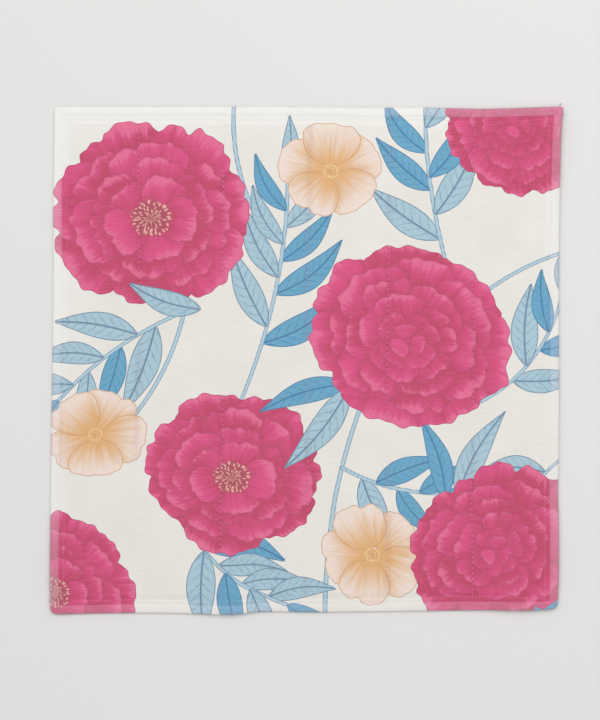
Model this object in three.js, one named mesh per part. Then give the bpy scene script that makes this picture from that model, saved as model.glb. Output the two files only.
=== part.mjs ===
// A square kitchen cloth of layered cotton gauze, lying open and face up on a table.
// The layers are sewn together along five seams into six panels, turned in at the rim to
// make a thicker hem strip, and topstitched beside that strip. It is one sheet, one solid.
// Millimetres, +Z up, X across the panels, Y along the seams. The underside's flat middle is Z = 0.

import * as THREE from 'three';

// Plan size.
const SIDE = 300;
const HALF = SIDE / 2;

// Thickness of the layers where they lie loose, and of the crown in the middle of a panel.
const PANEL_THICKNESS = 2.45;
const PANEL_CROWN = 0.2;

// The loose layers thin towards the hem, which holds them pressed: by how much, over what width.
const PANEL_FALL = 0.5;
const FALL_REACH = 26;

// The seams that hold the layers together: the trough each one pulls, and its small sway.
const SEAM_DEPTH = 0.3;
const SEAM_HALF_WIDTH = 2.6;
const SEAMS = [
  { across: -99.2, sway: 0.5, turn: 0.4 },
  { across: -49.0, sway: 0.4, turn: 2.1 },
  { across: 1.2, sway: 0.6, turn: 4.0 },
  { across: 48.7, sway: 0.5, turn: 5.2 },
  { across: 99.2, sway: 0.4, turn: 1.3 },
];
const SEAM_SWAY_LENGTH = 190;

// The hem from the rim inwards: the round rim, the thick strip over the turned-in layers,
// the step down beside it and the trough of the topstitching.
const HEM = [
  { inset: 0, top: 0.95 },
  { inset: 0.9, top: 1.45 },
  { inset: 2.6, top: 1.7 },
  { inset: 4.4, top: 1.65 },
  { inset: 5.3, top: 1.4 },
  { inset: 6.5, top: 1.55 },
  { inset: 8.0, top: 1.35 },
  { inset: 10.4, top: PANEL_THICKNESS - PANEL_FALL },
];
const HEM_WIDTH = HEM[HEM.length - 1].inset;
const STRIP_WIDTH = 5.3;

// The rim's uneven line: how far it lies outside the square, by place along each edge.
const LEFT_EDGE = [
  { at: -147, out: 0.9 },
  { at: -119, out: 0.95 },
  { at: -91, out: 0.75 },
  { at: -44, out: 0.25 },
  { at: -20, out: -0.2 },
  { at: 10, out: -0.6 },
  { at: 50, out: -0.85 },
  { at: 107, out: -1.05 },
  { at: 130, out: -1.4 },
  { at: 147, out: -1.5 },
];
const RIGHT_EDGE = [
  { at: -146, out: -0.9 },
  { at: -134, out: -0.5 },
  { at: -110, out: -0.4 },
  { at: -96, out: -0.5 },
  { at: -84, out: -0.85 },
  { at: -60, out: -0.5 },
  { at: -25, out: -0.2 },
  { at: 10, out: -0.35 },
  { at: 60, out: -0.3 },
  { at: 85, out: 0.0 },
  { at: 112, out: 0.4 },
  { at: 130, out: 0.9 },
  { at: 142, out: 1.6 },
  { at: 149, out: 2.2 },
];
const BOTTOM_EDGE = [
  { at: -147, out: 0.6 },
  { at: -128, out: 0.1 },
  { at: -72, out: -0.05 },
  { at: -60, out: 0.3 },
  { at: -50, out: 0.6 },
  { at: -41, out: 0.55 },
  { at: -27, out: -1.0 },
  { at: -18, out: -1.1 },
  { at: 5, out: -0.7 },
  { at: 30, out: -1.0 },
  { at: 70, out: -1.5 },
  { at: 109, out: -1.95 },
  { at: 134, out: -1.85 },
  { at: 143, out: -2.3 },
  { at: 149, out: -3.2 },
];
const TOP_EDGE = [
  { at: -148, out: -0.4 },
  { at: -120, out: -0.6 },
  { at: -40, out: -0.6 },
  { at: 0, out: -0.8 },
  { at: 30, out: -1.2 },
  { at: 75, out: -1.2 },
  { at: 90, out: -1.55 },
  { at: 100, out: -1.8 },
  { at: 112, out: -1.6 },
  { at: 127, out: -1.15 },
  { at: 138, out: -0.75 },
  { at: 149, out: -0.6 },
];

// The corners, none of them quite square. right and far are -1 or +1.
const CORNERS = [
  { right: -1, far: -1, radius: 4.5 },
  { right: 1, far: -1, radius: 3.5 },
  { right: 1, far: 1, radius: 1.6 },
  { right: -1, far: 1, radius: 2.2 },
];

// Where the rim curls up off the table: the edge, the place along it, how far the curl
// spreads along the edge, and how high the rim stands there.
const CURLS = [
  { edge: 'bottom', at: -45, spread: 11, rise: 1.1 },
  { edge: 'bottom', at: 128, spread: 14, rise: 1.3 },
  { edge: 'left', at: -124, spread: 18, rise: 1.2 },
  { edge: 'right', at: 0, spread: 80, rise: 0.7 },
  { edge: 'right', at: 128, spread: 26, rise: 1.9 },
  { edge: 'right', at: -118, spread: 18, rise: 1.3 },
  { edge: 'top', at: 110, spread: 26, rise: 0.4 },
];
const CURL_REACH = 26;

// The loose layers lie a little uneven: slow waves across the sheet.
const UNEVENNESS = [
  { height: 0.12, lengthX: 61, lengthY: 83, turn: 0.7 },
  { height: 0.09, lengthX: -38, lengthY: 47, turn: 2.9 },
  { height: 0.07, lengthX: 29, lengthY: -34, turn: 4.4 },
];

// How finely the panels are divided.
const STEPS_PER_PANEL = 4;
const ALONG_STEP = 12;

// The underside: flat inside FLAT_INSET, from where it rises a little to the stiff hem, and the
// insets of the rings that lead there from the rim.
const FLAT_INSET = 34;
const UNDER_RELIEF = 0.35;
const UNDER_RINGS = [0.9, 5, 12, 20];

const WEAVE_COLOUR = 0xe8e4dc;

// A smooth value from a table's rows, held level past its ends.
function edgeLine(rows) {
  const places = rows.map((row) => row.at);
  const outs = rows.map((row) => row.out);
  const curve = new THREE.CubicInterpolant(places, outs, 1);
  const first = places[0];
  const last = places[places.length - 1];
  return (at) => curve.evaluate(THREE.MathUtils.clamp(at, first, last))[0];
}

const leftOut = edgeLine(LEFT_EDGE);
const rightOut = edgeLine(RIGHT_EDGE);
const bottomOut = edgeLine(BOTTOM_EDGE);
const topOut = edgeLine(TOP_EDGE);

// Insets from the four nominal edges of a point of the square.
function insets(s, t) {
  return { left: s + HALF, right: HALF - s, bottom: t + HALF, top: HALF - t };
}

// The square's corner patches are pressed into round ones, so the rim has no sharp point.
function roundCorner(s, t) {
  for (const { right, far, radius } of CORNERS) {
    const a = (right * s - (HALF - radius)) / radius;
    const b = (far * t - (HALF - radius)) / radius;
    if (a > 0 && b > 0) {
      const roundA = a * Math.sqrt(1 - (b * b) / 2);
      const roundB = b * Math.sqrt(1 - (a * a) / 2);
      return [right * (HALF - radius + radius * roundA), far * (HALF - radius + radius * roundB)];
    }
  }
  return [s, t];
}

// From the square to the real plan: each edge's uneven line fades towards the far edge.
function plan(squareS, squareT) {
  const [s, t] = roundCorner(squareS, squareT);
  const toRight = (s + HALF) / SIDE;
  const toTop = (t + HALF) / SIDE;
  const x = s - leftOut(t) * (1 - toRight) + rightOut(t) * toRight;
  const y = t - bottomOut(s) * (1 - toTop) + topOut(s) * toTop;
  return [x, y];
}

// How far the curls at the rim lift the sheet off the table.
function curlLift(s, t) {
  const inset = insets(s, t);
  let lift = 0;
  for (const { edge, at, spread, rise } of CURLS) {
    const along = edge === 'left' || edge === 'right' ? t : s;
    const depth = 1 - inset[edge] / CURL_REACH;
    if (depth > 0) {
      lift += rise * depth * depth * Math.exp(-0.5 * ((along - at) / spread) ** 2);
    }
  }
  return lift;
}

// Height of the hem's upper side by the distance from the nearest edge.
function hemTop(inset) {
  for (let row = 1; row < HEM.length; row += 1) {
    if (inset <= HEM[row].inset) {
      const from = HEM[row - 1];
      const share = (inset - from.inset) / (HEM[row].inset - from.inset);
      return THREE.MathUtils.lerp(from.top, HEM[row].top, share);
    }
  }
  return PANEL_THICKNESS - PANEL_FALL;
}

// Where a seam runs at a place along it.
function seamAcross({ across, sway, turn }, t) {
  return across + sway * Math.sin((2 * Math.PI * t) / SEAM_SWAY_LENGTH + turn);
}

// Height of a panel's upper side: the fall towards the hem, a low crown between two seams and
// the slow waves.
function panelTop(s, t, inset) {
  const lines = [-HALF + HEM_WIDTH, ...SEAMS.map((seam) => seamAcross(seam, t)), HALF - HEM_WIDTH];
  const fall = Math.max(1 - (inset - HEM_WIDTH) / FALL_REACH, 0);
  let height = PANEL_THICKNESS - PANEL_FALL * fall * fall;
  for (let panel = 1; panel < lines.length; panel += 1) {
    if (s > lines[panel - 1] && s < lines[panel]) {
      const share = (s - lines[panel - 1]) / (lines[panel] - lines[panel - 1]);
      height += PANEL_CROWN * Math.sin(Math.PI * share);
    }
  }
  for (const { height: wave, lengthX, lengthY, turn } of UNEVENNESS) {
    height += wave * Math.sin(2 * Math.PI * (s / lengthX + t / lengthY) + turn);
  }
  return height;
}

// Height of the upper side before the curls: hem, panels and the troughs of the seams.
function layerTop(s, t) {
  const inset = Math.min(...Object.values(insets(s, t)));
  let height = inset < HEM_WIDTH ? hemTop(inset) : panelTop(s, t, inset);
  if (inset >= STRIP_WIDTH) {
    for (const seam of SEAMS) {
      const away = Math.abs(s - seamAcross(seam, t)) / SEAM_HALF_WIDTH;
      height -= SEAM_DEPTH * Math.max(1 - away, 0);
    }
  }
  return height;
}

// Grid lines across the panels: the hem's own lines, three at each seam, even ones between.
function acrossLines(t) {
  const lines = HEM.map(({ inset }) => -HALF + inset);
  let from = -HALF + HEM_WIDTH;
  for (const seam of SEAMS) {
    const middle = seamAcross(seam, t);
    for (let step = 1; step < STEPS_PER_PANEL; step += 1) {
      lines.push(THREE.MathUtils.lerp(from, middle - SEAM_HALF_WIDTH, step / STEPS_PER_PANEL));
    }
    lines.push(middle - SEAM_HALF_WIDTH, middle, middle + SEAM_HALF_WIDTH);
    from = middle + SEAM_HALF_WIDTH;
  }
  for (let step = 1; step < STEPS_PER_PANEL; step += 1) {
    lines.push(THREE.MathUtils.lerp(from, HALF - HEM_WIDTH, step / STEPS_PER_PANEL));
  }
  return [...lines, ...HEM.map(({ inset }) => HALF - inset).reverse()];
}

// Grid lines along the seams: the hem's own lines and even ones between.
function alongLines() {
  const loose = SIDE - 2 * HEM_WIDTH;
  const count = Math.round(loose / ALONG_STEP);
  const lines = HEM.map(({ inset }) => -HALF + inset);
  for (let step = 1; step < count; step += 1) {
    lines.push(-HALF + HEM_WIDTH + (loose * step) / count);
  }
  return [...lines, ...HEM.map(({ inset }) => HALF - inset).reverse()];
}

// The closed sheet: the upper side is a grid, and rings lead from its rim round under it to
// the flat middle, which is two large triangles with fans around them.
function sheetGeometry() {
  const points = [];
  const triangles = [];
  const rows = alongLines();
  const columnCount = acrossLines(0).length;

  const addPoint = (s, t, height) => {
    const [x, y] = plan(s, t);
    points.push(x, y, height + curlLift(s, t));
    return points.length / 3 - 1;
  };
  const addQuad = (a, b, c, d) => {
    triangles.push(a, b, c, a, c, d);
  };

  const top = rows.map((t) => acrossLines(t).map((s) => addPoint(s, t, layerTop(s, t))));
  for (let row = 1; row < rows.length; row += 1) {
    for (let column = 1; column < columnCount; column += 1) {
      addQuad(top[row - 1][column - 1], top[row - 1][column], top[row][column], top[row][column - 1]);
    }
  }

  // The rim's points in order, anticlockwise from the near left corner, with each side's start.
  const lastRow = rows.length - 1;
  const lastColumn = columnCount - 1;
  const rim = [];
  const starts = [];
  const follow = (count, place) => {
    starts.push(rim.length);
    for (let step = 0; step < count; step += 1) {
      rim.push(place(step));
    }
  };
  const at = (row, column) => {
    const t = rows[row];
    return { s: acrossLines(t)[column], t, index: top[row][column] };
  };
  follow(lastColumn, (step) => at(0, step));
  follow(lastRow, (step) => at(step, lastColumn));
  follow(lastColumn, (step) => at(lastRow, lastColumn - step));
  follow(lastRow, (step) => at(lastRow - step, 0));

  let outer = rim.map(({ index }) => index);
  for (const inset of UNDER_RINGS) {
    const scale = (HALF - inset) / HALF;
    const height = UNDER_RELIEF * (1 - inset / FLAT_INSET);
    const inner = rim.map(({ s, t }) => addPoint(s * scale, t * scale, height));
    rim.forEach((_, place) => {
      const next = (place + 1) % rim.length;
      addQuad(outer[place], inner[place], inner[next], outer[next]);
    });
    outer = inner;
  }

  const middle = HALF - FLAT_INSET;
  const corner = [
    addPoint(-middle, -middle, 0),
    addPoint(middle, -middle, 0),
    addPoint(middle, middle, 0),
    addPoint(-middle, middle, 0),
  ];
  starts.forEach((start, side) => {
    const end = side + 1 < starts.length ? starts[side + 1] : rim.length;
    const halfway = Math.floor((start + end) / 2);
    const near = corner[side];
    const far = corner[(side + 1) % corner.length];
    for (let place = start; place < end; place += 1) {
      const next = (place + 1) % rim.length;
      triangles.push(outer[place], place < halfway ? near : far, outer[next]);
    }
    triangles.push(outer[halfway], near, far);
  });
  triangles.push(corner[0], corner[2], corner[1], corner[0], corner[3], corner[2]);

  const geometry = new THREE.BufferGeometry();
  geometry.setAttribute('position', new THREE.Float32BufferAttribute(points, 3));
  geometry.setIndex(triangles);
  geometry.computeBoundingBox();
  const centre = geometry.boundingBox.getCenter(new THREE.Vector3());
  geometry.translate(-centre.x, -centre.y, 0);
  geometry.computeVertexNormals();
  return geometry;
}

const clothMaterial = new THREE.MeshStandardMaterial({
  color: WEAVE_COLOUR,
  roughness: 0.92,
  metalness: 0,
});

const cloth = new THREE.Mesh(sheetGeometry(), clothMaterial);
cloth.name = 'cloth';

const part = new THREE.Group();
part.name = 'kitchen_cloth';
part.add(cloth);

export default part;
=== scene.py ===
"""A square kitchen cloth of layered cotton gauze, lying open and flat, seen from straight above.

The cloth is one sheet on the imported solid's own outline, hem, seams and curls. Its flower print
is made of cut-out shapes laid over each other, each kept as a signed distance on the sheet's
grid, so the material can draw crisp fills, outlines and veins. The sewing is real thread.
Plan sizes are in millimetres in the tables and turned to metres where a mesh is made.
"""

from functools import partial
import math

import bpy
import numpy as np
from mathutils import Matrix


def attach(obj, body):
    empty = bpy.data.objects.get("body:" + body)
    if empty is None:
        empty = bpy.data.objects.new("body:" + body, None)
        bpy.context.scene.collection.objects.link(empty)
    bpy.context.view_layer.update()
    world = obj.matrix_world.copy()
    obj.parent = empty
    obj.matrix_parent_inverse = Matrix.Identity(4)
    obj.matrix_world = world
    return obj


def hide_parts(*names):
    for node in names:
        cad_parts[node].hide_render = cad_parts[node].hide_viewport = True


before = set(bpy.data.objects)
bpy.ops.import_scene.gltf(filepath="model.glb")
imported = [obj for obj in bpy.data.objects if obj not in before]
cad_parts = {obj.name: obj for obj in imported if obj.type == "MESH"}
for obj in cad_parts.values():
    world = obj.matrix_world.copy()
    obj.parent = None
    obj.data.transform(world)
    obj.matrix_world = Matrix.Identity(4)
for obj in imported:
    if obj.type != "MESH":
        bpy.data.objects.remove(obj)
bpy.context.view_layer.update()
MM = 0.001

# Plan of the cloth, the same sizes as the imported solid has.
SIDE = 300.0
HALF = SIDE / 2
PANEL_THICKNESS = 2.45
PANEL_CROWN = 0.2
PANEL_FALL = 0.5
FALL_REACH = 26.0
SEAM_DEPTH = 0.3
SEAM_HALF_WIDTH = 2.6
SEAM_SWAY_LENGTH = 190.0
PANEL_WIDTH = 49.6
COUNT_PAST = 0.7
SEAMS = [
    {"across": -99.2, "sway": 0.5, "turn": 0.4},
    {"across": -49.0, "sway": 0.4, "turn": 2.1},
    {"across": 1.2, "sway": 0.6, "turn": 4.0},
    {"across": 48.7, "sway": 0.5, "turn": 5.2},
    {"across": 99.2, "sway": 0.4, "turn": 1.3},
]
HEM = [
    {"inset": 2.6, "top": 1.7},
    {"inset": 4.4, "top": 1.65},
    {"inset": 5.3, "top": 1.4},
    {"inset": 6.5, "top": 1.55},
    {"inset": 8.0, "top": 1.35},
    {"inset": 10.4, "top": PANEL_THICKNESS - PANEL_FALL},
]
HEM_WIDTH = 10.4
STRIP_WIDTH = 5.1
RIM_HEIGHT = 0.95
RIM_ROUND = 2.6
TOPSTITCH_INSET = 8.0
EDGESTITCH_INSET = 4.9
EDGES = {
    "left": [(-147, 0.9), (-119, 0.95), (-91, 0.75), (-44, 0.25), (-20, -0.2), (10, -0.6),
             (50, -0.85), (107, -1.05), (130, -1.4), (147, -1.5)],
    "right": [(-146, -0.9), (-134, -0.5), (-110, -0.4), (-96, -0.5), (-84, -0.85), (-60, -0.5),
              (-25, -0.2), (10, -0.35), (60, -0.3), (85, 0.0), (112, 0.4), (130, 0.9), (142, 1.6),
              (149, 2.2)],
    "bottom": [(-147, 0.6), (-128, 0.1), (-72, -0.05), (-60, 0.3), (-50, 0.6), (-41, 0.55),
               (-27, -1.0), (-18, -1.1), (5, -0.7), (30, -1.0), (70, -1.5), (109, -1.95),
               (134, -1.85), (143, -2.3), (149, -3.2)],
    "top": [(-148, -0.4), (-120, -0.6), (-40, -0.6), (0, -0.8), (30, -1.2), (75, -1.2),
            (90, -1.55), (100, -1.8), (112, -1.6), (127, -1.15), (138, -0.75), (149, -0.6)],
}
CORNERS = [
    {"right": -1, "far": -1, "radius": 4.5},
    {"right": 1, "far": -1, "radius": 3.5},
    {"right": 1, "far": 1, "radius": 1.6},
    {"right": -1, "far": 1, "radius": 2.2},
]
CURLS = [
    {"edge": "bottom", "at": -45, "spread": 11, "rise": 1.1},
    {"edge": "bottom", "at": 128, "spread": 14, "rise": 1.3},
    {"edge": "left", "at": -124, "spread": 18, "rise": 1.2},
    {"edge": "right", "at": 0, "spread": 80, "rise": 0.7},
    {"edge": "right", "at": 128, "spread": 26, "rise": 1.9},
    {"edge": "right", "at": -118, "spread": 18, "rise": 1.3},
    {"edge": "top", "at": 110, "spread": 26, "rise": 0.4},
]
CURL_REACH = 26.0
UNEVENNESS = [
    {"height": 0.12, "length_s": 61, "length_t": 83, "turn": 0.7},
    {"height": 0.09, "length_s": -38, "length_t": 47, "turn": 2.9},
    {"height": 0.07, "length_s": 29, "length_t": -34, "turn": 4.4},
]

# Sewing: stitch pitch along the seams and along the hem, how much of it shows as thread, the
# thread's radius, and how far short of the topstitch row the seams end.
SEAM_PITCH = 3.2
SEAM_SHOWN = 0.5
SEAM_THREAD = 0.15
SEAM_START = -HALF + TOPSTITCH_INSET + 1.5
HEM_PITCH = 1.75
HEM_SHOWN = 0.6
HEM_THREAD = 0.13
HEM_ROWS = [
    {"inset": TOPSTITCH_INSET, "short_of_corner": 3.0},
    {"inset": EDGESTITCH_INSET, "short_of_corner": 4.0},
]

# The gauze's own threads lie this far apart.
THREAD_SPACING = 1.3

# Shade of the thread on each dye, for the cloth was printed after it was sewn, and on bare ground.
THREAD_SHADES = {
    "stem": "C9DCE4",
    "leaf": "A6CBDD",
    "bloom": "EE8FAE",
    "blossom": "EFDAC8",
    "boss": "D98C98",
    "eye": "E8C79A",
}
BARE_THREAD = "F3F0EC"
TAIL_THREAD = "927380"

# Three loose thread ends near the corners: plan places from where each leaves the cloth, over
# its bend, to its tip, with heights above the table. Each thins to half its radius.
TAILS = [
    {"from": (149.4, 148.6, 1.2), "over": (150.2, 150.0, 1.6), "to": (151.2, 151.8, 0.3)},
    {"from": (149.8, 144.4, 1.0), "over": (151.6, 144.6, 1.1), "to": (153.0, 144.7, 0.3)},
    {"from": (-148.6, -142.8, 0.9), "over": (-150.6, -142.6, 1.2), "to": (-151.9, -142.9, 0.3)},
]
TAIL_RADIUS = 0.21

# Grid of the sheet's upper side: close lines in the hem, even ones inside.
HEM_LINES = [0, 0.12, 0.35, 0.7, 1.2, 1.8, 2.6, 3.4, 4.1, 4.6, 5.0, 5.3, 5.8, 6.4, 7.0, 7.5, 8.0,
             8.5, 9.2, 10.4]
GRID_STEP = 1.15


def smooth_line(rows):
    """A curve through a table's (place, value) rows: cubic pieces whose slope at each row is
    that of the line between its neighbours, held level past the ends."""
    places, values = np.array(rows, float).T
    slopes = np.gradient(values, places)

    def value_at(place):
        place = np.clip(place, places[0], places[-1])
        row = np.clip(np.searchsorted(places, place) - 1, 0, len(places) - 2)
        span = places[row + 1] - places[row]
        share = (place - places[row]) / span
        rest = 1 - share
        return (values[row] * rest ** 2 * (1 + 2 * share)
                + values[row + 1] * share ** 2 * (1 + 2 * rest)
                + slopes[row] * span * share * rest ** 2
                - slopes[row + 1] * span * share ** 2 * rest)

    return value_at


EDGE_LINES = {edge: smooth_line(rows) for edge, rows in EDGES.items()}
HEM_LINE = smooth_line([(row["inset"], row["top"]) for row in HEM])


def insets(s, t):
    """Distance of each point of the square from its four sides."""
    return {"left": s + HALF, "right": HALF - s, "bottom": t + HALF, "top": HALF - t}


def plan(s, t):
    """From the square to the real plan: corner patches are pressed into quarter discs, then each
    side's uneven line is added, fading in a straight ratio towards the far side."""
    s, t = np.array(s, float), np.array(t, float)
    for corner in CORNERS:
        radius = corner["radius"]
        a = (corner["right"] * s - (HALF - radius)) / radius
        b = (corner["far"] * t - (HALF - radius)) / radius
        inside = (a > 0) & (b > 0)
        round_a = a * np.sqrt(np.maximum(1 - b ** 2 / 2, 0))
        round_b = b * np.sqrt(np.maximum(1 - a ** 2 / 2, 0))
        s = np.where(inside, corner["right"] * (HALF - radius + radius * round_a), s)
        t = np.where(inside, corner["far"] * (HALF - radius + radius * round_b), t)
    to_right, to_top = (s + HALF) / SIDE, (t + HALF) / SIDE
    x = s - EDGE_LINES["left"](t) * (1 - to_right) + EDGE_LINES["right"](t) * to_right
    y = t - EDGE_LINES["bottom"](s) * (1 - to_top) + EDGE_LINES["top"](s) * to_top
    return x, y


def curl_lift(s, t):
    """Rise of the sheet off the table: bell-shaped along each curl, its square falling inwards."""
    inset = insets(s, t)
    lift = np.zeros(np.broadcast(s, t).shape)
    for curl in CURLS:
        along = t if curl["edge"] in ("left", "right") else s
        depth = np.clip(1 - inset[curl["edge"]] / CURL_REACH, 0, 1)
        lift += curl["rise"] * depth ** 2 * np.exp(-0.5 * ((along - curl["at"]) / curl["spread"]) ** 2)
    return lift


def seam_across(seam, t):
    """Where a seam runs: its own line plus one slow sine."""
    return seam["across"] + seam["sway"] * np.sin(2 * np.pi * t / SEAM_SWAY_LENGTH + seam["turn"])


def seam_count(s, t):
    """How many seams lie left of a place, less one, with the share of the way to the next one;
    past the outer seams it goes on by even steps, but only so far."""
    lines = [seam_across(seam, t) for seam in SEAMS]
    count = np.clip((s - lines[0]) / PANEL_WIDTH, -COUNT_PAST, 0)
    count = count + np.clip((s - lines[-1]) / PANEL_WIDTH, 0, COUNT_PAST)
    for before, after in zip(lines, lines[1:]):
        count = count + np.clip((s - before) / (after - before), 0, 1)
    return count


def panel_top(s, t, inset):
    """Upper side between the seams: a square-law fall towards the hem, half a sine across each
    panel and slow crossing waves."""
    height = PANEL_THICKNESS - PANEL_FALL * np.clip(1 - (inset - HEM_WIDTH) / FALL_REACH, 0, 1) ** 2
    lines = [-HALF + HEM_WIDTH] + [seam_across(seam, t) for seam in SEAMS] + [HALF - HEM_WIDTH]
    for before, after in zip(lines, lines[1:]):
        share = np.clip((s - before) / (after - before), 0, 1)
        height = height + PANEL_CROWN * np.sin(np.pi * share)
    for wave in UNEVENNESS:
        turn = 2 * np.pi * (s / wave["length_s"] + t / wave["length_t"]) + wave["turn"]
        height = height + wave["height"] * np.sin(turn)
    return height


PUCKER_HEIGHT = 0.05
PUCKER_REACH = 2.4


def layer_top(s, t):
    """Upper side before the curls: a quarter ellipse up the rim, the hem's own line, the panels,
    and a rounded trough with small puckers along each seam."""
    inset = np.minimum.reduce(list(insets(s, t).values()))
    rim = np.sqrt(np.clip(1 - (1 - inset / RIM_ROUND) ** 2, 0, 1))
    rim_top = RIM_HEIGHT + (HEM[0]["top"] - RIM_HEIGHT) * rim
    hem = np.where(inset < RIM_ROUND, rim_top, HEM_LINE(inset))
    inward = np.clip((inset - HEM_WIDTH + 1.5) / 3.0, 0, 1)
    inward = inward * inward * (3 - 2 * inward)
    height = hem + (panel_top(s, t, inset) - (PANEL_THICKNESS - PANEL_FALL)) * inward
    for seam in SEAMS:
        away = np.abs(s - seam_across(seam, t))
        height = height - SEAM_DEPTH * np.exp(-(away / (0.55 * SEAM_HALF_WIDTH)) ** 2) * inward
        pucker = PUCKER_HEIGHT * np.sin(2 * np.pi * t / SEAM_PITCH) * (away / PUCKER_REACH)
        height = height + pucker * np.exp(1 - away / PUCKER_REACH) * (inset > HEM_WIDTH)
    return height


# The solid's outline is centred on the origin by its own box, and so is the sheet.
def outline_shift():
    """Middle of the outline's box: the mean of its lowest and highest plan points."""
    line = np.linspace(-HALF, HALF, 1201)
    near = np.full_like(line, -HALF)
    x, y = plan(np.concatenate([line, line, near, -near]), np.concatenate([near, -near, line, line]))
    return (x.min() + x.max()) / 2, (y.min() + y.max()) / 2


SHIFT = outline_shift()


def place(s, t, height):
    """Points in metres for places on the square and heights above the sheet's flat underside."""
    x, y = plan(s, t)
    z = height + curl_lift(s, t)
    return np.stack([x - SHIFT[0], y - SHIFT[1], z], -1) * MM


def grid_lines():
    """Lines of the grid along one side: the hem's close lines at both ends, even ones between."""
    hem = np.array(HEM_LINES, float)
    count = int(round((SIDE - 2 * hem[-1]) / GRID_STEP))
    inner = np.linspace(-HALF + hem[-1], HALF - hem[-1], count + 1)[1:-1]
    return np.concatenate([-HALF + hem, inner, (HALF - hem)[::-1]])


LINES = grid_lines()
GRID_S, GRID_T = np.meshgrid(LINES, LINES)

# The print. Every motif is a cut-out with a signed distance to its outline (negative inside), a
# place along it (0 at its base, 1 at its tip) and a place across it (-1 to 1).
DEEP = 20.0
SHEET_MARGIN = 1.0
DYE = {"stem": 0, "leaf": 1, "bloom": 2, "blossom": 3, "boss": 4, "eye": 5}
TONES = 10
RNG = np.random.default_rng(1907)


def to_distance(field):
    """Signed distance in mm to a field's zero line: the field over the length of its slope."""
    slope_t, slope_s = np.gradient(field, LINES, LINES)
    slope = np.maximum(np.hypot(slope_s, slope_t), 1e-4)
    return np.clip(field / slope, -DEEP, DEEP)


def petal_field(u, v, length, half_width, rough, notch, turns):
    """A petal from the flower's middle along u: a rounded square oval, wider outwards, whose rim
    waves by three sines and dips at a notch. Negative inside."""
    middle, reach = 0.56 * length, 0.44 * length
    x = (u - middle) / reach
    y = v / (half_width * (1 + 0.22 * np.clip(x, -1, 1)))
    angle = np.arctan2(y, x)
    outer = np.clip(np.cos(angle), 0, 1)
    radius = 1 + rough * (0.5 * np.sin(3 * angle + turns[0]) + 0.35 * np.sin(5 * angle + turns[1]))
    ragged = 0.55 * np.sin(11 * angle + turns[2]) + 0.35 * np.sin(19 * angle + turns[0])
    radius = radius + rough * outer * ragged
    radius = radius - notch * np.exp(-((angle - 0.35 * np.sin(turns[1])) / 0.14) ** 2)
    return (np.abs(x) ** 2.3 + np.abs(y) ** 2.3) ** (1 / 2.3) - radius


def leaf_field(u, v, length, half_width, bend):
    """A leaf along u from its base: two arcs about a bowed midrib, narrow at the tip. Negative
    inside."""
    share = np.clip(u / length, 0, 1)
    spine = bend * length * np.sin(np.pi * share) * 0.5
    side = v - spine
    width = half_width * np.sin(np.pi * share ** 0.85) ** 0.9 * (1 - 0.35 * share)
    beyond = np.maximum(np.maximum(-u, u - length), 0)
    return np.hypot(np.abs(side), beyond * 1.5) - width - 0.12, share, side / half_width


def stroke_field(points, half_width):
    """A stem: the distance to the nearest stretch of a chain of points, less half its width."""
    best = np.full(GRID_S.shape, 1e9)
    along = np.zeros_like(best)
    across = np.zeros_like(best)
    count = len(points) - 1
    for index, (a, b) in enumerate(zip(points, points[1:])):
        run = b - a
        span = float(run @ run)
        share = np.clip(((GRID_S - a[0]) * run[0] + (GRID_T - a[1]) * run[1]) / span, 0, 1)
        off_s = GRID_S - a[0] - share * run[0]
        off_t = GRID_T - a[1] - share * run[1]
        away = np.hypot(off_s, off_t)
        nearer = away < best
        best = np.where(nearer, away, best)
        along = np.where(nearer, (index + share) / count, along)
        side = (run[0] * off_t - run[1] * off_s) / math.sqrt(span) / half_width
        across = np.where(nearer, np.clip(side, -2, 2), across)
    return best - half_width, along, across


class CutOuts:
    """Sheets of cut-outs: each new one goes on the lowest sheet above all that it touches."""

    def __init__(self):
        self.sheets = []

    def lay(self, field, along, across, dye, tone):
        """Puts a cut-out on its sheet: its distance where it is the nearest one there, and one
        number for dye, tone and place along."""
        distance = to_distance(field)
        touch = distance < SHEET_MARGIN
        if not (distance < 0).any():
            return
        level = 0
        for index, sheet in enumerate(self.sheets):
            if (touch & (sheet["distance"] < SHEET_MARGIN)).any():
                level = index + 1
        if level == len(self.sheets):
            blank = np.zeros(GRID_S.shape)
            self.sheets.append({"code": blank, "across": blank, "distance": blank + DEEP})
        sheet = self.sheets[level]
        nearer = distance < sheet["distance"]
        code = 2 * (DYE[dye] * TONES + tone) + np.clip(along, 0, 1)
        sheet["code"] = np.where(nearer, code, sheet["code"])
        sheet["across"] = np.where(nearer, across, sheet["across"])
        sheet["distance"] = np.where(nearer, distance, sheet["distance"])


def turned(s, t, heading):
    """Coordinates along and across a heading given in degrees."""
    c, d = math.cos(math.radians(heading)), math.sin(math.radians(heading))
    return s * c + t * d, t * c - s * d


def flower_plane(at, squash, lean):
    """The grid seen in a flower's own plane: moved to its middle and stretched back along the
    direction in which it leans away."""
    along, across = turned(GRID_S - at[0], GRID_T - at[1], lean)
    along = along / squash
    c, d = math.cos(math.radians(lean)), math.sin(math.radians(lean))
    return along * c - across * d, along * d + across * c


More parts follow.
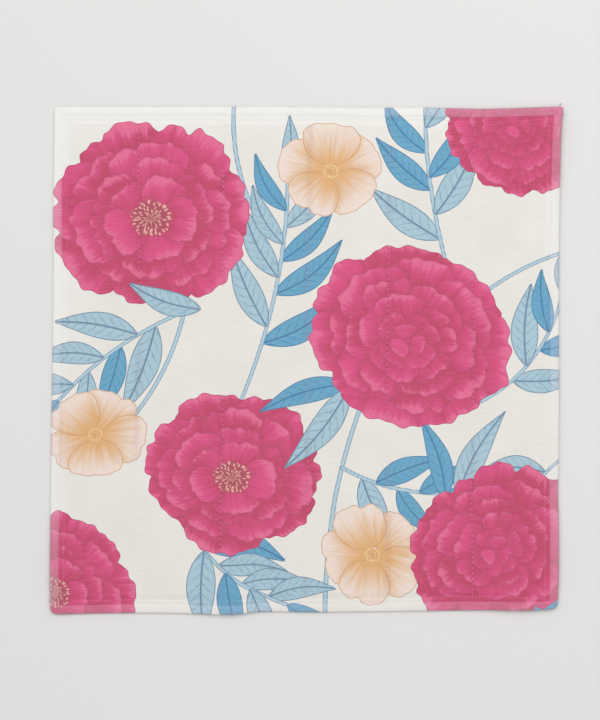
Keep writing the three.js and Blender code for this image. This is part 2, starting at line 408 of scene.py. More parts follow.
# Rings of petals from the outside in: how many, how far they reach and how wide they are as
# shares of the flower's radius, how ragged their rims are, and how far the ring is raised
# towards the viewer, which shifts it against the lean.
DOUBLE = [
    {"petals": 7, "reach": 1.00, "half_width": 0.42, "rough": 0.060, "raised": 0.00},
    {"petals": 7, "reach": 0.83, "half_width": 0.34, "rough": 0.065, "raised": 0.03},
    {"petals": 6, "reach": 0.64, "half_width": 0.27, "rough": 0.070, "raised": 0.07},
    {"petals": 5, "reach": 0.46, "half_width": 0.23, "rough": 0.070, "raised": 0.10},
]
FULL_HEART = [
    {"petals": 4, "reach": 0.30, "half_width": 0.17, "rough": 0.05, "raised": 0.12},
    {"petals": 3, "reach": 0.18, "half_width": 0.11, "rough": 0.05, "raised": 0.13},
]
SINGLE = [{"petals": 5, "reach": 1.00, "half_width": 0.50, "rough": 0.035, "raised": 0.00}]


def lay_flower(sheets, flower, rings, dye):
    """Rings of petals from the outside in; within a ring every other petal lies on top."""
    p, q = flower_plane(flower["at"], flower["squash"], flower["lean"])
    c, d = math.cos(math.radians(flower["lean"])), math.sin(math.radians(flower["lean"]))
    radius = flower["radius"]
    for ring_index, ring in enumerate(rings):
        shift = ring["raised"] * radius * (1 - flower["squash"]) * 4
        ring_p, ring_q = p + shift * c, q + shift * d
        step = 360 / ring["petals"]
        start = flower["turn"] + ring_index * (0.5 * step + 7)
        order = list(range(0, ring["petals"], 2)) + list(range(1, ring["petals"], 2))
        for petal in order:
            heading = start + step * petal + RNG.uniform(-0.09, 0.09) * step
            length = radius * ring["reach"] * RNG.uniform(0.93, 1.06)
            half_width = radius * ring["half_width"] * RNG.uniform(0.92, 1.1)
            notch = RNG.choice([0.0, 0.08, 0.17])
            turns = RNG.uniform(0, 2 * np.pi, 3)
            tone = int(RNG.integers(0, TONES))
            u, v = turned(ring_p, ring_q, heading)
            field = petal_field(u, v, length, half_width, ring["rough"], notch, turns)
            fan = math.atan2(half_width, 0.9 * length)
            spread = np.arctan2(v, np.maximum(u + 0.35 * length, 1e-3)) / fan
            sheets.lay(field, u / length, spread, dye, tone)


def lay_disc(sheets, flower, size, raised, dye):
    """The heart of a flower: a wavy oval that carries its own plane as along and across."""
    p, q = flower_plane(flower["at"], flower["squash"], flower["lean"])
    c, d = math.cos(math.radians(flower["lean"])), math.sin(math.radians(flower["lean"]))
    shift = raised * flower["radius"] * (1 - flower["squash"]) * 4
    p, q = p + shift * c, q + shift * d
    radius = size * flower["radius"]
    angle = np.arctan2(q, p)
    rim = radius * (1 + 0.05 * np.sin(5 * angle) + 0.04 * np.sin(9 * angle + 1))
    sheets.lay(np.hypot(p, q) - rim, 0.5 + 0.4 * p / radius, q / radius, dye, 5)


def lay_leaf(sheets, at, heading, length, half_width, bend, tone):
    """One leaf from its base at a plan place."""
    u, v = turned(GRID_S - at[0], GRID_T - at[1], heading)
    field, along, across = leaf_field(u, v, length, half_width, bend)
    sheets.lay(field, along, across, "leaf", tone)


def curve_points(at, heading, length, curl, count=14):
    """A stem's line: equal steps whose heading turns evenly by the whole curl."""
    headings = np.radians(heading + curl * (np.arange(count) + 0.5) / count)
    steps = np.stack([np.cos(headings), np.sin(headings)], -1) * length / count
    return np.concatenate([[at], np.array(at) + np.cumsum(steps, 0)])


def lay_spray(sheets, spray):
    """A curved stem with leaves on both sides in turn and one at its end."""
    points = curve_points(spray["at"], spray["heading"], spray["length"], spray["curl"])
    field, along, across = stroke_field(points, spray["thick"] / 2)
    leaves = []
    for index in range(spray["leaves"]):
        share = spray["first"] + (0.97 - spray["first"]) * index / max(spray["leaves"] - 1, 1)
        side = 1 if (index + spray["side"]) % 2 else -1
        heading = spray["heading"] + spray["curl"] * share + side * 40 * (1.1 - 0.35 * share)
        if index == spray["leaves"] - 1:
            heading = spray["heading"] + spray["curl"]
        spot = points[int(round(share * (len(points) - 1)))]
        size = spray["leaf"] * (1.12 - 0.3 * share) * RNG.uniform(0.9, 1.12)
        tone = int(RNG.integers(0, 5)) + (5 if RNG.uniform() < spray["deep"] else 0)
        leaves.append((spot, heading, size, size * spray["slim"], side * RNG.uniform(0.05, 0.2), tone))
    for leaf in leaves[0::2]:
        lay_leaf(sheets, *leaf)
    sheets.lay(field, along, across, "stem", 4)
    for leaf in leaves[1::2]:
        lay_leaf(sheets, *leaf)


STEMS = [
    {"at": (-44, 150), "heading": 268, "length": 70, "curl": 30, "thick": 2.4},
    {"at": (34, -24), "heading": 250, "length": 150, "curl": 24, "thick": 2.6},
    {"at": (-70, 40), "heading": 262, "length": 80, "curl": -30, "thick": 2.4},
    {"at": (150, 62), "heading": 196, "length": 70, "curl": 30, "thick": 2.2},
]
SPRAYS = [
    {"at": (-40, -28), "heading": 66, "length": 140, "curl": 24, "thick": 2.2, "leaves": 9, "first": 0.3,
     "leaf": 50, "slim": 0.17, "side": 0, "deep": 0.4},
    {"at": (85, 50), "heading": 106, "length": 104, "curl": -14, "thick": 2.2, "leaves": 7, "first": 0.22,
     "leaf": 46, "slim": 0.19, "side": 1, "deep": 0.35},
    {"at": (102, -26), "heading": 26, "length": 84, "curl": 52, "thick": 2.1, "leaves": 6, "first": 0.3,
     "leaf": 46, "slim": 0.19, "side": 0, "deep": 0.5},
    {"at": (-78, 26), "heading": 204, "length": 84, "curl": 24, "thick": 2.2, "leaves": 7, "first": 0.15,
     "leaf": 50, "slim": 0.18, "side": 1, "deep": 0.4},
    {"at": (22, -64), "heading": 330, "length": 62, "curl": 30, "thick": 2.1, "leaves": 5, "first": 0.2,
     "leaf": 42, "slim": 0.2, "side": 0, "deep": 0.5},
    {"at": (-72, -92), "heading": 296, "length": 84, "curl": 46, "thick": 2.2, "leaves": 8, "first": 0.2,
     "leaf": 46, "slim": 0.19, "side": 1, "deep": 0.45},
    {"at": (150, -62), "heading": 216, "length": 44, "curl": 30, "thick": 2.0, "leaves": 4, "first": 0.2,
     "leaf": 40, "slim": 0.2, "side": 0, "deep": 0.3},
]
BLOSSOMS = [
    {"at": (14, 112), "radius": 31, "turn": 20, "squash": 0.92, "lean": 80},
    {"at": (-124, -44), "radius": 30, "turn": 64, "squash": 0.86, "lean": 100},
    {"at": (40, -116), "radius": 32, "turn": 40, "squash": 0.9, "lean": 60},
]
LOW_BLOOMS = [
    {"at": (-92, 86), "radius": 60, "turn": 12, "squash": 0.9, "lean": 96, "heart": "open"},
    {"at": (-42, -66), "radius": 55, "turn": 5, "squash": 0.84, "lean": 75, "heart": "open"},
    {"at": (122, 138), "radius": 44, "turn": 50, "squash": 0.9, "lean": 230, "heart": "full"},
    {"at": (-146, -136), "radius": 48, "turn": 0, "squash": 0.9, "lean": 40, "heart": "open"},
]
SPRIGS = [
    {"at": (-62, 30), "heading": 160, "length": 46, "half_width": 8.5, "bend": 0.14, "tone": 2},
    {"at": (26, -14), "heading": 198, "length": 56, "half_width": 8.5, "bend": -0.12, "tone": 8},
    {"at": (26, -16), "heading": 232, "length": 62, "half_width": 9.5, "bend": 0.10, "tone": 1},
    {"at": (90, -84), "heading": 62, "length": 60, "half_width": 9.0, "bend": 0.12, "tone": 3},
    {"at": (84, -84), "heading": 108, "length": 52, "half_width": 8.0, "bend": -0.12, "tone": 7},
    {"at": (98, -138), "heading": -9, "length": 96, "half_width": 12.0, "bend": 0.04, "tone": 6},
]
HIGH_BLOOMS = [
    {"at": (62, 14), "radius": 63, "turn": 40, "squash": 0.88, "lean": 60, "heart": "full"},
    {"at": (112, -112), "radius": 54, "turn": 25, "squash": 0.88, "lean": 110, "heart": "full"},
]


def lay_bloom(sheets, bloom):
    """A large flower: its rings, then either small petals round a bud or a disc of anthers."""
    lay_flower(sheets, bloom, DOUBLE, "bloom")
    if bloom["heart"] == "full":
        lay_disc(sheets, bloom, 0.16, 0.12, "bloom")
        lay_flower(sheets, bloom, FULL_HEART, "bloom")
    else:
        lay_disc(sheets, bloom, 0.2, 0.1, "boss")


def draw_print():
    """All cut-outs in painter's order: stems and sprays, small blossoms, then the big blooms."""
    sheets = CutOuts()
    for stem in STEMS:
        points = curve_points(stem["at"], stem["heading"], stem["length"], stem["curl"], 20)
        sheets.lay(*stroke_field(points, stem["thick"] / 2), "stem", 5)
    for spray in SPRAYS:
        lay_spray(sheets, spray)
    for blossom in BLOSSOMS:
        lay_flower(sheets, blossom, SINGLE, "blossom")
        lay_disc(sheets, blossom, 0.15, 0.0, "eye")
    for bloom in LOW_BLOOMS:
        lay_bloom(sheets, bloom)
    for leaf in SPRIGS:
        lay_leaf(sheets, **leaf)
    for bloom in HIGH_BLOOMS:
        lay_bloom(sheets, bloom)
    return sheets.sheets


PRINT_SHEETS = draw_print()

# The sheet of cloth.
UNDER_RELIEF = 0.35
FLAT_INSET = 34.0
UNDER_ROUND = 0.9
UNDER_COUNT = 0.5
UNDER_RINGS = [0.12, 0.4, 0.9, 2.5, 5, 9, 14, 20, 27, FLAT_INSET, 60, 100]


def rim_places():
    """The rim's places on the square in order, anticlockwise from the near left corner, with
    each one's index in the grid."""
    last = len(LINES) - 1
    step = np.arange(last)
    rows = np.concatenate([0 * step, step, 0 * step + last, last - step])
    columns = np.concatenate([step, 0 * step + last, last - step, 0 * step])
    return LINES[columns], LINES[rows], rows * len(LINES) + columns


def under_height(inset):
    """Underside: a quarter ellipse in from the rim, then a slight even fall to the flat middle."""
    relief = UNDER_RELIEF * np.clip(1 - inset / FLAT_INSET, 0, 1)
    rounding = 1 - math.sqrt(max(1 - max(1 - inset / UNDER_ROUND, 0) ** 2, 0))
    return relief + (RIM_HEIGHT - UNDER_RELIEF) * rounding


def add_attribute(mesh, name, values):
    """A vector for each vertex, kept on the mesh under a name."""
    attribute = mesh.attributes.new(name, "FLOAT_VECTOR", "POINT")
    attribute.data.foreach_set("vector", np.ascontiguousarray(values, np.float32).ravel())


def build_sheet():
    """The closed sheet: a grid for the upper side, then rings of the rim's places drawn in
    towards the middle for the underside, closed by a fan about the middle."""
    count = len(LINES)
    top = place(GRID_S, GRID_T, layer_top(GRID_S, GRID_T)).reshape(-1, 3)
    cell = np.arange((count - 1) * count).reshape(count - 1, count)[:, :-1].ravel()
    quads = [np.stack([cell, cell + 1, cell + count + 1, cell + count], -1)]
    rim_s, rim_t, outer = rim_places()
    rim = outer
    counted = seam_count(GRID_S, GRID_T)
    points, flats = [top], [np.stack([GRID_S.ravel(), GRID_T.ravel(), counted.ravel()], -1)]
    total = len(top)
    for inset in UNDER_RINGS:
        scale = (HALF - inset) / HALF
        points.append(place(rim_s * scale, rim_t * scale, np.full(rim_s.shape, under_height(inset))))
        flats.append(np.stack([rim_s * scale, rim_t * scale, np.full(rim_s.shape, UNDER_COUNT)], -1))
        inner = total + np.arange(len(rim_s))
        quads.append(np.stack([outer, inner, np.roll(inner, -1), np.roll(outer, -1)], -1))
        total += len(rim_s)
        outer = inner
    points.append(place(np.zeros(1), np.zeros(1), np.zeros(1)))
    flats.append(np.array([[0, 0, UNDER_COUNT]]))
    fan = np.stack([outer, np.full(outer.shape, total), np.roll(outer, -1)], -1)
    quads = np.concatenate(quads)
    mesh = bpy.data.meshes.new("towel")
    mesh.from_pydata(np.concatenate(points).tolist(), [], quads.tolist() + fan.tolist())
    add_attribute(mesh, "lay_mm", np.concatenate(flats))
    rings = len(UNDER_RINGS)
    for index, sheet in enumerate(PRINT_SHEETS):
        values = np.stack([sheet[name].ravel() for name in ("code", "across", "distance")], -1)
        values = np.concatenate([values, np.tile(values[rim], (rings, 1)), [[0, 0, DEEP]]])
        add_attribute(mesh, f"cut_{index:02d}", values)
    mesh.polygons.foreach_set("use_smooth", np.ones(len(mesh.polygons), bool))
    backing_from = (count - 1) ** 2 + 4 * len(rim_s)
    slots = np.zeros(len(mesh.polygons), np.int32)
    slots[backing_from:] = 1
    mesh.polygons.foreach_set("material_index", slots)
    mesh.update()
    towel = bpy.data.objects.new("towel", mesh)
    bpy.context.scene.collection.objects.link(towel)
    return towel


# Sewing thread.
def stitch_rows():
    """Middle, heading, length and thread radius of every stitch, as arrays: five seams, and round
    the rim an edge row on the strip and a topstitch row beside it, each a little uneven."""
    rows = []
    for seam in SEAMS:
        t = np.arange(SEAM_START, -SEAM_START, SEAM_PITCH)
        t = t + RNG.normal(0, 0.12, t.shape)
        s = seam_across(seam, t) + RNG.normal(0, 0.1, t.shape)
        rows.append((s, t, 90.0, SEAM_SHOWN * SEAM_PITCH, SEAM_THREAD))
    for row in HEM_ROWS:
        reach = HALF - row["short_of_corner"]
        line = np.arange(-reach, reach, HEM_PITCH)
        for side in (-1, 1):
            for upright in (False, True):
                along = line + RNG.normal(0, 0.06, line.shape)
                wander = 0.25 * np.sin(along / 23 + 2 * side + upright) + RNG.normal(0, 0.05, line.shape)
                off = side * (HALF - row["inset"]) + wander
                s, t = (off, along) if upright else (along, off)
                heading = 90.0 if upright else 0.0
                rows.append((s, t, heading, HEM_SHOWN * HEM_PITCH, HEM_THREAD))
    s, t, heading, length, thread = (
        np.concatenate(parts) for parts in zip(*(np.broadcast_arrays(*row) for row in rows)))
    return s, t, heading + RNG.normal(0, 4, s.shape), length, thread


THREAD_SIDES = 6
THREAD_RINGS = [
    (-0.5, -0.9, 0.55),
    (-0.3, 0.35, 1.0),
    (0.0, 0.62, 1.05),
    (0.3, 0.35, 1.0),
    (0.5, -0.9, 0.55),
]


def thread_shades(s, t):
    """Linear colour of each stitch: the shade of the topmost cut-out at its place."""
    columns, rows = (np.clip(np.searchsorted(LINES, along), 0, len(LINES) - 1) for along in (s, t))
    colours = np.tile(linear(BARE_THREAD)[:3], (len(s), 1))
    by_dye = np.array([linear(THREAD_SHADES[dye])[:3] for dye in DYE])
    for sheet in PRINT_SHEETS:
        covers = sheet["distance"][rows, columns] < 0
        dye = (sheet["code"][rows, columns] / (2 * TONES)).astype(int)
        colours = np.where(covers[:, None], by_dye[dye], colours)
    return colours


def tail_tubes():
    """Middles in metres and headings of the loose ends: curves bent towards their middle place."""
    share = np.linspace(0, 1, len(THREAD_RINGS))[None, :, None]
    start, over, tip = (np.array([tail[name] for tail in TAILS])[:, None, :]
                        for name in ("from", "over", "to"))
    middles = start * (1 - share) ** 2 + 2 * over * share * (1 - share) + tip * share ** 2
    run = (tip - start)[:, 0]
    return (middles - np.array([*SHIFT, 0.0])) * MM, np.degrees(np.arctan2(run[:, 1], run[:, 0]))


def build_stitches():
    """Every stitch is a short arched tube: five rings of six points whose middles rise from under
    the cloth, over it and back. Each ring's row gives its place, height and thickness. The loose
    ends are three more tubes of the same make."""
    s, t, heading, length, thread = stitch_rows()
    ring_place, ring_height, ring_size = np.array(THREAD_RINGS).T
    along = ring_place[None, :] * length[:, None]
    ring_s = s[:, None] + np.cos(np.radians(heading))[:, None] * along
    ring_t = t[:, None] + np.sin(np.radians(heading))[:, None] * along
    middles = place(ring_s, ring_t, layer_top(ring_s, ring_t))
    middles[..., 2] += ring_height * thread[:, None] * MM
    sizes = ring_size * thread[:, None]
    tail_middles, tail_heading = tail_tubes()
    middles = np.concatenate([middles, tail_middles])
    tail_sizes = np.tile(TAIL_RADIUS * np.linspace(1, 0.5, len(THREAD_RINGS)), (len(TAILS), 1))
    sizes = np.concatenate([sizes, tail_sizes])
    heading = np.radians(np.concatenate([heading, tail_heading]))
    shades = np.concatenate([thread_shades(s, t), np.tile(linear(TAIL_THREAD)[:3], (len(TAILS), 1))])
    rings, sides = len(THREAD_RINGS), THREAD_SIDES
    turn = np.arange(sides) * 2 * np.pi / sides
    level = np.stack([-np.sin(heading), np.cos(heading), 0 * heading], -1)[:, None, None, :]
    upward = np.array([0, 0, 1])
    spokes = level * np.cos(turn)[None, None, :, None] + upward * np.sin(turn)[None, None, :, None]
    points = middles[:, :, None, :] + spokes * sizes[:, :, None, None] * MM
    first = (np.arange(len(heading)) * rings * sides)[:, None, None]
    ring = (np.arange(rings - 1) * sides)[None, :, None]
    spoke = np.arange(sides)[None, None, :]
    next_spoke = (spoke + 1) % sides
    quads = np.stack([first + ring + sides + spoke, first + ring + sides + next_spoke,
                      first + ring + next_spoke, first + ring + spoke], -1).reshape(-1, 4)
    near = first[:, 0, :] + np.arange(sides)[None, :]
    far = near[:, ::-1] + (rings - 1) * sides
    mesh = bpy.data.meshes.new("stitches")
    mesh.from_pydata(points.reshape(-1, 3).tolist(), [], quads.tolist() + near.tolist() + far.tolist())
    add_attribute(mesh, "thread_shade", np.repeat(shades, rings * sides, 0))
    mesh.polygons.foreach_set("use_smooth", np.ones(len(mesh.polygons), bool))
    mesh.update()
    stitches = bpy.data.objects.new("stitches", mesh)
    bpy.context.scene.collection.objects.link(stitches)
    return stitches


# Materials.
def linear(colour):
    """An sRGB hex colour as linear red, green, blue and full alpha."""
    parts = [int(colour[i:i + 2], 16) / 255 for i in (0, 2, 4)]
    return [p / 12.92 if p <= 0.04045 else ((p + 0.055) / 1.055) ** 2.4 for p in parts] + [1.0]


# Shader nodes by the part they play in a formula: the kind of node and its settings. A ramp goes
# in a straight line from 0 at its low end to 1 at its high end, or between two values given
# after the ends; to weigh is to multiply the first value by the second and add the third.
NODES = {
    "plus": ("Math", {"operation": "ADD"}),
    "minus": ("Math", {"operation": "SUBTRACT"}),
    "times": ("Math", {"operation": "MULTIPLY"}),
    "divided": ("Math", {"operation": "DIVIDE"}),
    "weigh": ("Math", {"operation": "MULTIPLY_ADD"}),
    "least": ("Math", {"operation": "MINIMUM"}),
    "most": ("Math", {"operation": "MAXIMUM"}),
    "below": ("Math", {"operation": "LESS_THAN"}),
    "beyond": ("Math", {"operation": "GREATER_THAN"}),
    "equals": ("Math", {"operation": "COMPARE"}),
    "whole": ("Math", {"operation": "FLOOR"}),
    "fraction": ("Math", {"operation": "FRACT"}),
    "nearest": ("Math", {"operation": "ROUND"}),
    "size": ("Math", {"operation": "ABSOLUTE"}),
    "root": ("Math", {"operation": "SQRT"}),
    "sine": ("Math", {"operation": "SINE"}),
    "cosine": ("Math", {"operation": "COSINE"}),
    "angle": ("Math", {"operation": "ARCTAN2"}),
    "ramp": ("MapRange", {}),
    "blend": ("Mix", {"data_type": "FLOAT"}),
    "cover": ("Mix", {"data_type": "VECTOR"}),
    "paint": ("Mix", {"data_type": "RGBA"}),
    "stain": ("Mix", {"data_type": "RGBA", "blend_type": "MULTIPLY"}),
    "noise": ("TexNoise", {}),
    "grains": ("TexVoronoi", {"voronoi_dimensions": "2D"}),
    "join": ("CombineXYZ", {}),
    "split": ("SeparateXYZ", {}),
    "kept": ("Attribute", {}),
    "places": ("TexCoord", {}),
    "relief": ("Bump", {}),
    "cloth": ("BsdfPrincipled", {}),
    "result": ("OutputMaterial", {}),
}


def add_node(tree, part, *inputs, named=None, **settings):
    """A node for the given part, its inputs in order or by name: a value, a hex colour, or a
    socket to link. Gives its first output in use."""
    kind, usual = NODES[part]
    node = tree.nodes.new("ShaderNode" + kind)
    for name, value in {**usual, **settings}.items():
        setattr(node, name, value)
    pairs = list(zip([socket for socket in node.inputs if socket.enabled], inputs))
    pairs += [(node.inputs[name], value) for name, value in (named or {}).items()]
    for socket, value in pairs:
        if isinstance(value, bpy.types.NodeSocket):
            tree.links.new(value, socket)
        else:
            socket.default_value = linear(value) if isinstance(value, str) else value
    return next((socket for socket in node.outputs if socket.enabled), None)


def new_material(name):
    """A material with an empty node tree, and the function that adds nodes to that tree."""
    material = bpy.data.materials.new(name)
    material.use_nodes = True
    material.node_tree.nodes.clear()
    return material, partial(add_node, material.node_tree)


COTTON_GLOSS = 0.15


def printed_gauze():
    """Plain-weave cotton gauze, bleached and screen printed: matt, a little fuzzy, with open
    threads that show as fine streaks, and flat colours with thin drawn outlines. Its places are
    millimetres on the square, and so are the scales of its patterns."""
    material, add = new_material("printed_cotton_gauze")
    lay = add("kept", attribute_name="lay_mm").node.outputs["Vector"]
    s, t, count = add("split", lay).node.outputs

    # Cut-outs from the lowest sheet up: the topmost one that covers a point stays. Above is the
    # distance to the nearest cut-out that lies higher.
    above = DEEP
    top = add("join", 0.0, 0.0, DEEP)
    for index in range(len(PRINT_SHEETS)):
        cut = add("kept", attribute_name=f"cut_{index:02d}").node.outputs["Vector"]
        depth = add("split", cut).node.outputs[2]
        covers = add("below", depth, 0.0)
        top = add("cover", covers, top, cut)
        above = add("blend", covers, add("least", above, depth), DEEP)
    code, across, distance = add("split", top).node.outputs
    number = add("whole", add("times", code, 0.5))
    along = add("minus", code, add("times", number, 2.0))
    dye = add("whole", add("divided", add("plus", number, 0.5), TONES))
    tone = add("divided", add("minus", number, add("times", dye, TONES)), TONES - 1)
    inked = add("below", distance, 0.0)
    inside = add("times", distance, -1.0)
    side = add("size", across)

    # Brush marks run along each petal and leaf; a slow mottle varies the paint.
    mottle = add("noise", lay, 0.055, 3.0)
    shift = add("times", number, 3.7)
    brush_place = add("join", add("times", across, 9.0), add("times", along, 1.3), shift)
    brush = add("noise", brush_place, 1.0, 3.0, 0.6)
    fine_place = add("join", add("times", across, 26.0), add("times", along, 2.2), shift)
    fine = add("noise", fine_place, 1.0, 2.0, 0.6)
    wobble = add("noise", lay, 0.5, 1.0)

    # Every motif has a drawn outline of 0.4 to 0.85 mm.
    line = add("weigh", wobble, 0.45, 0.4)
    outline = add("ramp", inside, line, add("times", line, 0.6))

    # Large blooms: magenta, darker where a petal comes out from under another, light at one
    # edge of the tip in a ragged brushed patch.
    depth_shade = add("ramp", above, 0.0, 9.0)
    value = -0.85
    for part, weight in ((depth_shade, 0.55), (tone, 0.25), (brush, 0.9), (mottle, 0.8)):
        value = add("weigh", part, weight, value)
    bloom = add("paint", add("ramp", value, 0.1, 0.55), "C24F6D", "D65784")
    bloom = add("paint", add("ramp", value, 0.55, 1.0), bloom, "DF5F8C")
    to_side = add("times", across, add("weigh", tone, 2.0, -1.0))
    patch = -1.35
    for part, weight in ((along, 1.5), (to_side, 0.45), (fine, 0.9), (brush, 0.8), (depth_shade, 0.5)):
        patch = add("weigh", part, weight, patch)
    bloom = add("paint", add("ramp", patch, 1.18, 1.44, 0.0, 0.8), bloom, "E4769A")
    bloom = add("paint", add("times", outline, 0.6), bloom, "A8506F")

    # Small blossoms: cream petals flushed apricot from the base, with fine tan lines.
    blush = add("weigh", brush, 0.9, add("minus", 0.6, along))
    blossom = add("paint", add("ramp", blush, 0.2, 0.8), "EBDACF", "DFB07D")
    drawn = add("times", add("ramp", fine, 0.6, 0.72), add("minus", 1.0, along))
    blossom = add("paint", drawn, blossom, "D2A273")
    blossom = add("paint", add("ramp", above, 3.0, 0.0, 0.0, 0.35), blossom, "DFAE7C")
    blossom = add("paint", add("times", outline, 0.8), blossom, "C99C74")

    # Leaves: pale or mid blue by tone, a midrib, side veins swept to the tip, a slate outline.
    deep = add("ramp", tone, 0.49, 0.51)
    leaf = add("paint", deep, "ADC8D3", "67A4C4")
    leaf = add("paint", add("ramp", brush, 0.35, 0.75, 0.0, 0.35), leaf, "8DB6C8")
    sweep = add("times", wobble, 0.5)
    for part, weight in ((along, 9.0), (side, -1.7)):
        sweep = add("weigh", part, weight, sweep)
    vein = add("size", add("minus", add("fraction", sweep), 0.5))
    vein = add("times", add("ramp", vein, 0.075, 0.035, 0.0, 0.55), add("ramp", side, 0.85, 0.45))
    midrib = add("ramp", side, 0.08, 0.035, 0.0, 0.85)
    mark_place = add("join", add("times", sweep, 2.4), add("times", side, 5.0), add("times", number, 1.9))
    marks = add("ramp", add("noise", mark_place, 1.0, 1.0), 0.66, 0.70, 0.0, 0.4)
    marks = add("times", marks, add("below", tone, 0.5))
    drawn = add("times", outline, 0.9)
    for other in (vein, midrib, marks):
        drawn = add("most", drawn, other)
    leaf = add("paint", drawn, leaf, add("paint", deep, "66809C", "4F79A1"))

    # Stems: pale blue with darker sides.
    stem = add("paint", add("ramp", side, 0.25, 0.8), "B4CDD8", "9DBBCB")
    stem = add("paint", add("times", outline, 0.9), stem, "6C86A2")

    # Hearts: a dusky disc strewn with pale anthers that point away from the middle.
    p = add("weigh", along, 2.5, -1.25)
    out = add("root", add("weigh", p, p, add("times", across, across)))
    grain_place = add("join", add("times", add("angle", across, p), 5.2), add("times", out, 2.7))
    grain = add("grains", named={"Vector": grain_place, "Scale": 1.0, "Randomness": 0.9})
    boss = add("paint", add("ramp", out, 0.2, 1.0), "A4525C", "B85B70")
    boss = add("paint", add("ramp", grain, 0.32, 0.24, 0.0, 0.95), boss, "EBB3A6")
    eye = add("paint", add("ramp", out, 0.1, 0.9), "C98F56", "E2B27A")
    eye = add("paint", add("ramp", grain, 0.32, 0.24, 0.0, 0.9), eye, "F3DDB6")

    # Unprinted ground: off-white, a little creamier here and there.
    ink = add("paint", add("ramp", add("noise", lay, 0.035, 3.0), 0.35, 0.65), "E4E1DA", "E8E5DF")
    dyed = {"stem": stem, "leaf": leaf, "bloom": bloom, "blossom": blossom, "boss": boss, "eye": eye}
    for name, colour in dyed.items():
        ink = add("paint", add("times", inked, add("equals", dye, DYE[name], 0.25)), ink, colour)

    # The layers are pressed together along the seams, where the dye looks a little denser.
    rim_inset = add("minus", HALF, add("most", add("size", s), add("size", t)))
    from_seam = add("times", add("size", add("minus", count, add("nearest", count))), PANEL_WIDTH)
    pressed = add("times", add("ramp", from_seam, 3.2, 0.4, 0.0, 0.1), add("ramp", rim_inset, 6.0, 12.0))
    ink = add("paint", add("times", pressed, inked), ink, "8E3F5C")

    # Between two stitches of a seam the needle's hole draws the cloth in; the shade in that small dimple
    # is painted as a dark spot, stronger on the blooms.
    beat = add("times", add("minus", t, SEAM_START), 2 * math.pi / SEAM_PITCH)
    dimple_shade = add("ramp", add("cosine", beat), -0.2, -0.9)
    dimple_shade_by_dye = add("blend", add("equals", dye, DYE["bloom"], 0.25), 0.05, 0.22)
    within = add("beyond", rim_inset, TOPSTITCH_INSET)
    for share in (add("ramp", from_seam, 0.6, 0.2), inked, within, dimple_shade_by_dye):
        dimple_shade = add("times", dimple_shade, share)
    ink = add("stain", dimple_shade, ink, "A0707E")

    # The hem strip lies on the turned-in layers, whose white shows through. On the near side it is
    # painted less pale as painted shade, for that side slopes away from the light.
    strip = add("ramp", rim_inset, STRIP_WIDTH + 0.5, STRIP_WIDTH - 0.6)
    for share in (add("weigh", wobble, 0.1, 0.1), add("ramp", t, -HALF, -HALF + 12.0, 0.55, 1.0), inked):
        strip = add("times", strip, share)
    ink = add("paint", strip, ink, "F3EAFA")

    # Painted light: the bare hem is painted whiter than the ground, most on the far and left sides that
    # face the light and not at all at the near right corner, fading out over the cloth beside it.
    hem_painted_light = add("plus", add("ramp", t, -HALF, HALF, 0.0, 0.35), add("ramp", s, HALF, -HALF, 0.0, 0.16))
    near_rim = add("ramp", rim_inset, 34.0, 8.0, 0.0, 0.35)
    near_rim = add("plus", near_rim, add("ramp", rim_inset, 11.0, 6.5, 0.0, 0.65))
    for share in (near_rim, add("minus", 1.0, inked)):
        hem_painted_light = add("times", hem_painted_light, share)
    ink = add("paint", hem_painted_light, ink, "F6F7F5")

    # The outer fold is painted grey as shade where the rim turns under, and a soft dark painted shadow
    # marks the strip's step.
    rim_fold_shade = add("times", add("ramp", rim_inset, 1.2, 0.3), add("blend", inked, 0.1, 0.42))
    ink = add("paint", rim_fold_shade, ink, "96999A")
    step = add("times", add("ramp", rim_inset, 4.9, 5.3), add("ramp", rim_inset, 7.2, 5.9))
    ink = add("paint", add("times", step, add("blend", inked, 0.02, 0.09)), ink, "8A5A66")

    # Open threads: weft streaks across, fainter warp streaks up, about as wide as the threads
    # are apart.
    weft_place = add("join", add("times", s, 0.09), add("times", t, 0.95))
    warp_place = add("join", add("times", s, 0.95), add("times", t, 0.09))
    streak = -0.41
    for place_of, weight in ((weft_place, 0.6), (warp_place, 0.22)):
        streak = add("weigh", add("noise", place_of, 1.0, 2.0, 0.6), weight, streak)
    shown = add("blend", inked, 0.11, 0.075)
    ink = add("paint", add("times", add("ramp", streak, 0.0, 0.3), shown), ink, "F4EBEA")
    ink = add("stain", add("times", add("ramp", streak, 0.0, -0.3), shown), ink, "8C6A70")

    # The threads themselves are too fine for the picture: a slight relief of crossing waves.
    height = add("times", streak, 2.0)
    for along_axis, weight in ((t, 0.25), (s, 0.175)):
        wave = add("sine", add("times", along_axis, 2 * math.pi / THREAD_SPACING))
        height = add("weigh", wave, weight, height)
    relief = add("relief", named={"Strength": 0.35, "Distance": 0.00012, "Height": height})
    cloth = add("cloth", named={"Base Color": ink, "Roughness": 0.9, "Normal": relief,
                                "Specular IOR Level": COTTON_GLOSS})
    add("result", cloth)
    return material


def matt_material(name, colour, other, scale, roughness):
    """A matt surface that looks even from afar: two near colours in a soft noise, with a slight
    tooth. The scale is in noise cells a metre."""
    material, add = new_material(name)
    places = add("places").node.outputs["Object"]
    mix = add("noise", places, scale, 3.0)
    relief = add("relief", named={"Strength": 0.3, "Distance": 0.0001, "Height": mix})
    surface = add("cloth", named={"Base Color": add("paint", mix, colour, other), "Normal": relief,
                                  "Roughness": roughness, "Specular IOR Level": COTTON_GLOSS})
    add("result", surface)
    return material


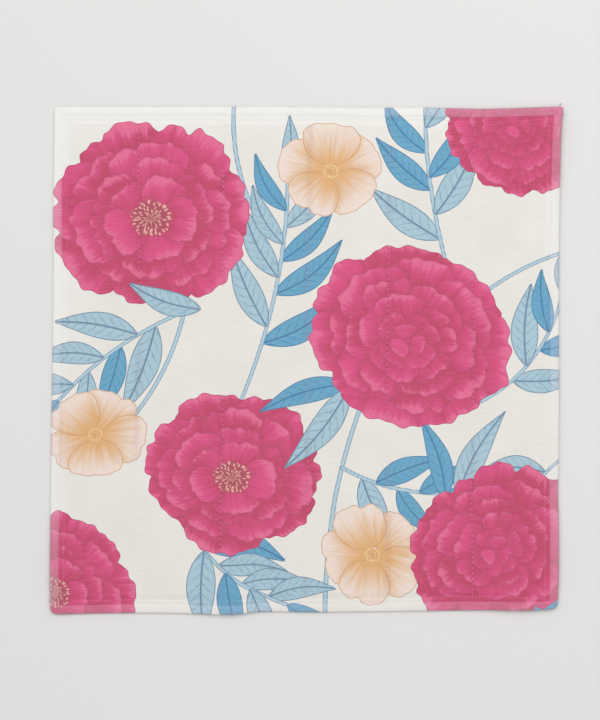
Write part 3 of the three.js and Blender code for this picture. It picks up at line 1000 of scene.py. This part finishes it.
def spun_thread():
    """Spun cotton sewing thread: matt and soft, in the shade that each stitch carries."""
    material, add = new_material("spun_cotton_thread")
    shade = add("kept", attribute_name="thread_shade").node.outputs["Vector"]
    add("result", add("cloth", named={"Base Color": shade, "Roughness": 0.85,
                                      "Specular IOR Level": COTTON_GLOSS}))
    return material


# Pieces.
towel = build_sheet()
towel.data.materials.append(printed_gauze())
# Plain backing gauze, seen only from below: off-white with a grain of about 1 mm.
towel.data.materials.append(matt_material("backing_cotton_gauze", "E9E6DE", "EFEDE7", 900.0, 0.95))
stitches = build_stitches()
stitches.data.materials.append(spun_thread())

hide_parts("cloth")
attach(towel, "root")
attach(stitches, "root")


# Stage: a plain pale floor, a soft sky all round and a broad light up and to the right.
def build_floor():
    """A square of pale matt board, even to the eye, just below the cloth's underside."""
    size, drop = 3.0, 0.00002
    mesh = bpy.data.meshes.new("floor")
    corners = [(-size, -size, -drop), (size, -size, -drop), (size, size, -drop), (-size, size, -drop)]
    mesh.from_pydata(corners, [], [(0, 1, 2, 3)])
    floor = bpy.data.objects.new("floor", mesh)
    bpy.context.scene.collection.objects.link(floor)
    floor.data.materials.append(matt_material("pale_matt_board", "E3E2E1", "E5E3E2", 2.0, 0.9))


SKY = 0.71
WINDOW = 0.60
WINDOW_SPREAD = 50
SOFTBOX = 2.26
SOFTBOX_SIZE = (0.9, 0.7)


def build_light():
    """An even white sky, a wide soft sun from the far left and a broad lamp at the far right."""
    world = bpy.data.worlds.new("studio")
    bpy.context.scene.world = world
    world.use_nodes = True
    background = world.node_tree.nodes["Background"]
    background.inputs["Color"].default_value = (1.0, 1.0, 1.0, 1.0)
    background.inputs["Strength"].default_value = SKY
    sun = bpy.data.lights.new("window", "SUN")
    sun.energy, sun.angle = WINDOW, math.radians(WINDOW_SPREAD)
    lamp = bpy.data.lights.new("softbox", "AREA")
    lamp.shape = "RECTANGLE"
    lamp.size, lamp.size_y = SOFTBOX_SIZE
    lamp.energy = SOFTBOX
    for light, spot in ((sun, (-0.5, 0.7, 1.1)), (lamp, (0.25, 0.55, 0.8))):
        holder = bpy.data.objects.new(light.name, light)
        holder.location = spot
        holder.rotation_euler = (-holder.location).to_track_quat("-Z", "Y").to_euler()
        bpy.context.scene.collection.objects.link(holder)


# The photo is taken from straight above; its 720 pixel side spans this length at the cloth.
FRAME_HEIGHT = 0.4252
CLOTH_LEVEL = 0.0016
LENS = 100.0
SENSOR = 36.0
PHOTO_CENTRE = (-3.25, -0.2)


def build_camera():
    """Looks straight down from where the frame's height fills the sensor's longer side."""
    camera = bpy.data.cameras.new("camera")
    camera.lens = LENS
    camera.sensor_width = SENSOR
    camera.clip_start = 0.01
    camera_object = bpy.data.objects.new("camera", camera)
    away = FRAME_HEIGHT * LENS / SENSOR + CLOTH_LEVEL
    camera_object.location = ((PHOTO_CENTRE[0] - SHIFT[0]) * MM, (PHOTO_CENTRE[1] - SHIFT[1]) * MM, away)
    bpy.context.scene.collection.objects.link(camera_object)
    bpy.context.scene.camera = camera_object


build_floor()
build_light()
build_camera()
bpy.context.scene.view_settings.view_transform = "Standard"
